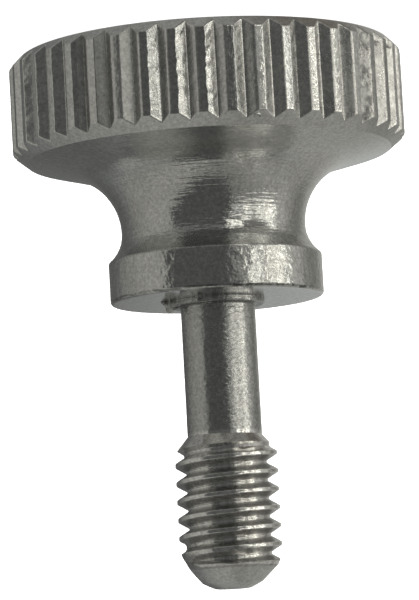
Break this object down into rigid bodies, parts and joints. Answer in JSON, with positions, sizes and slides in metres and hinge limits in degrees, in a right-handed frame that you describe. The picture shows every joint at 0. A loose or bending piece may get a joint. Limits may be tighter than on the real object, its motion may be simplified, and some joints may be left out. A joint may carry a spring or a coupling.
{
  "type": "thumb screw",
  "caption": "Captive thumb screw turned in one piece: straight-knurled round head, waisted neck, collar, relieved shank and a short metric thread.",
  "frame": {"origin": "centre of the head's flat top face, which the screw stands on", "axes": "+Z along the screw's axis, from the head's top face towards the tip of the thread; +X and +Y square to the axis"},
  "size_m": [0.0152, 0.0152, 0.0209],
  "materials": {
    "steel": "bare stainless steel as turned and tumbled: satin, with fine lathe rings and a slightly lumpy, scuffed surface"
  },
  "bodies": {
    "root": {"thumb_screw": "steel"}
  },
  "joints": []
}
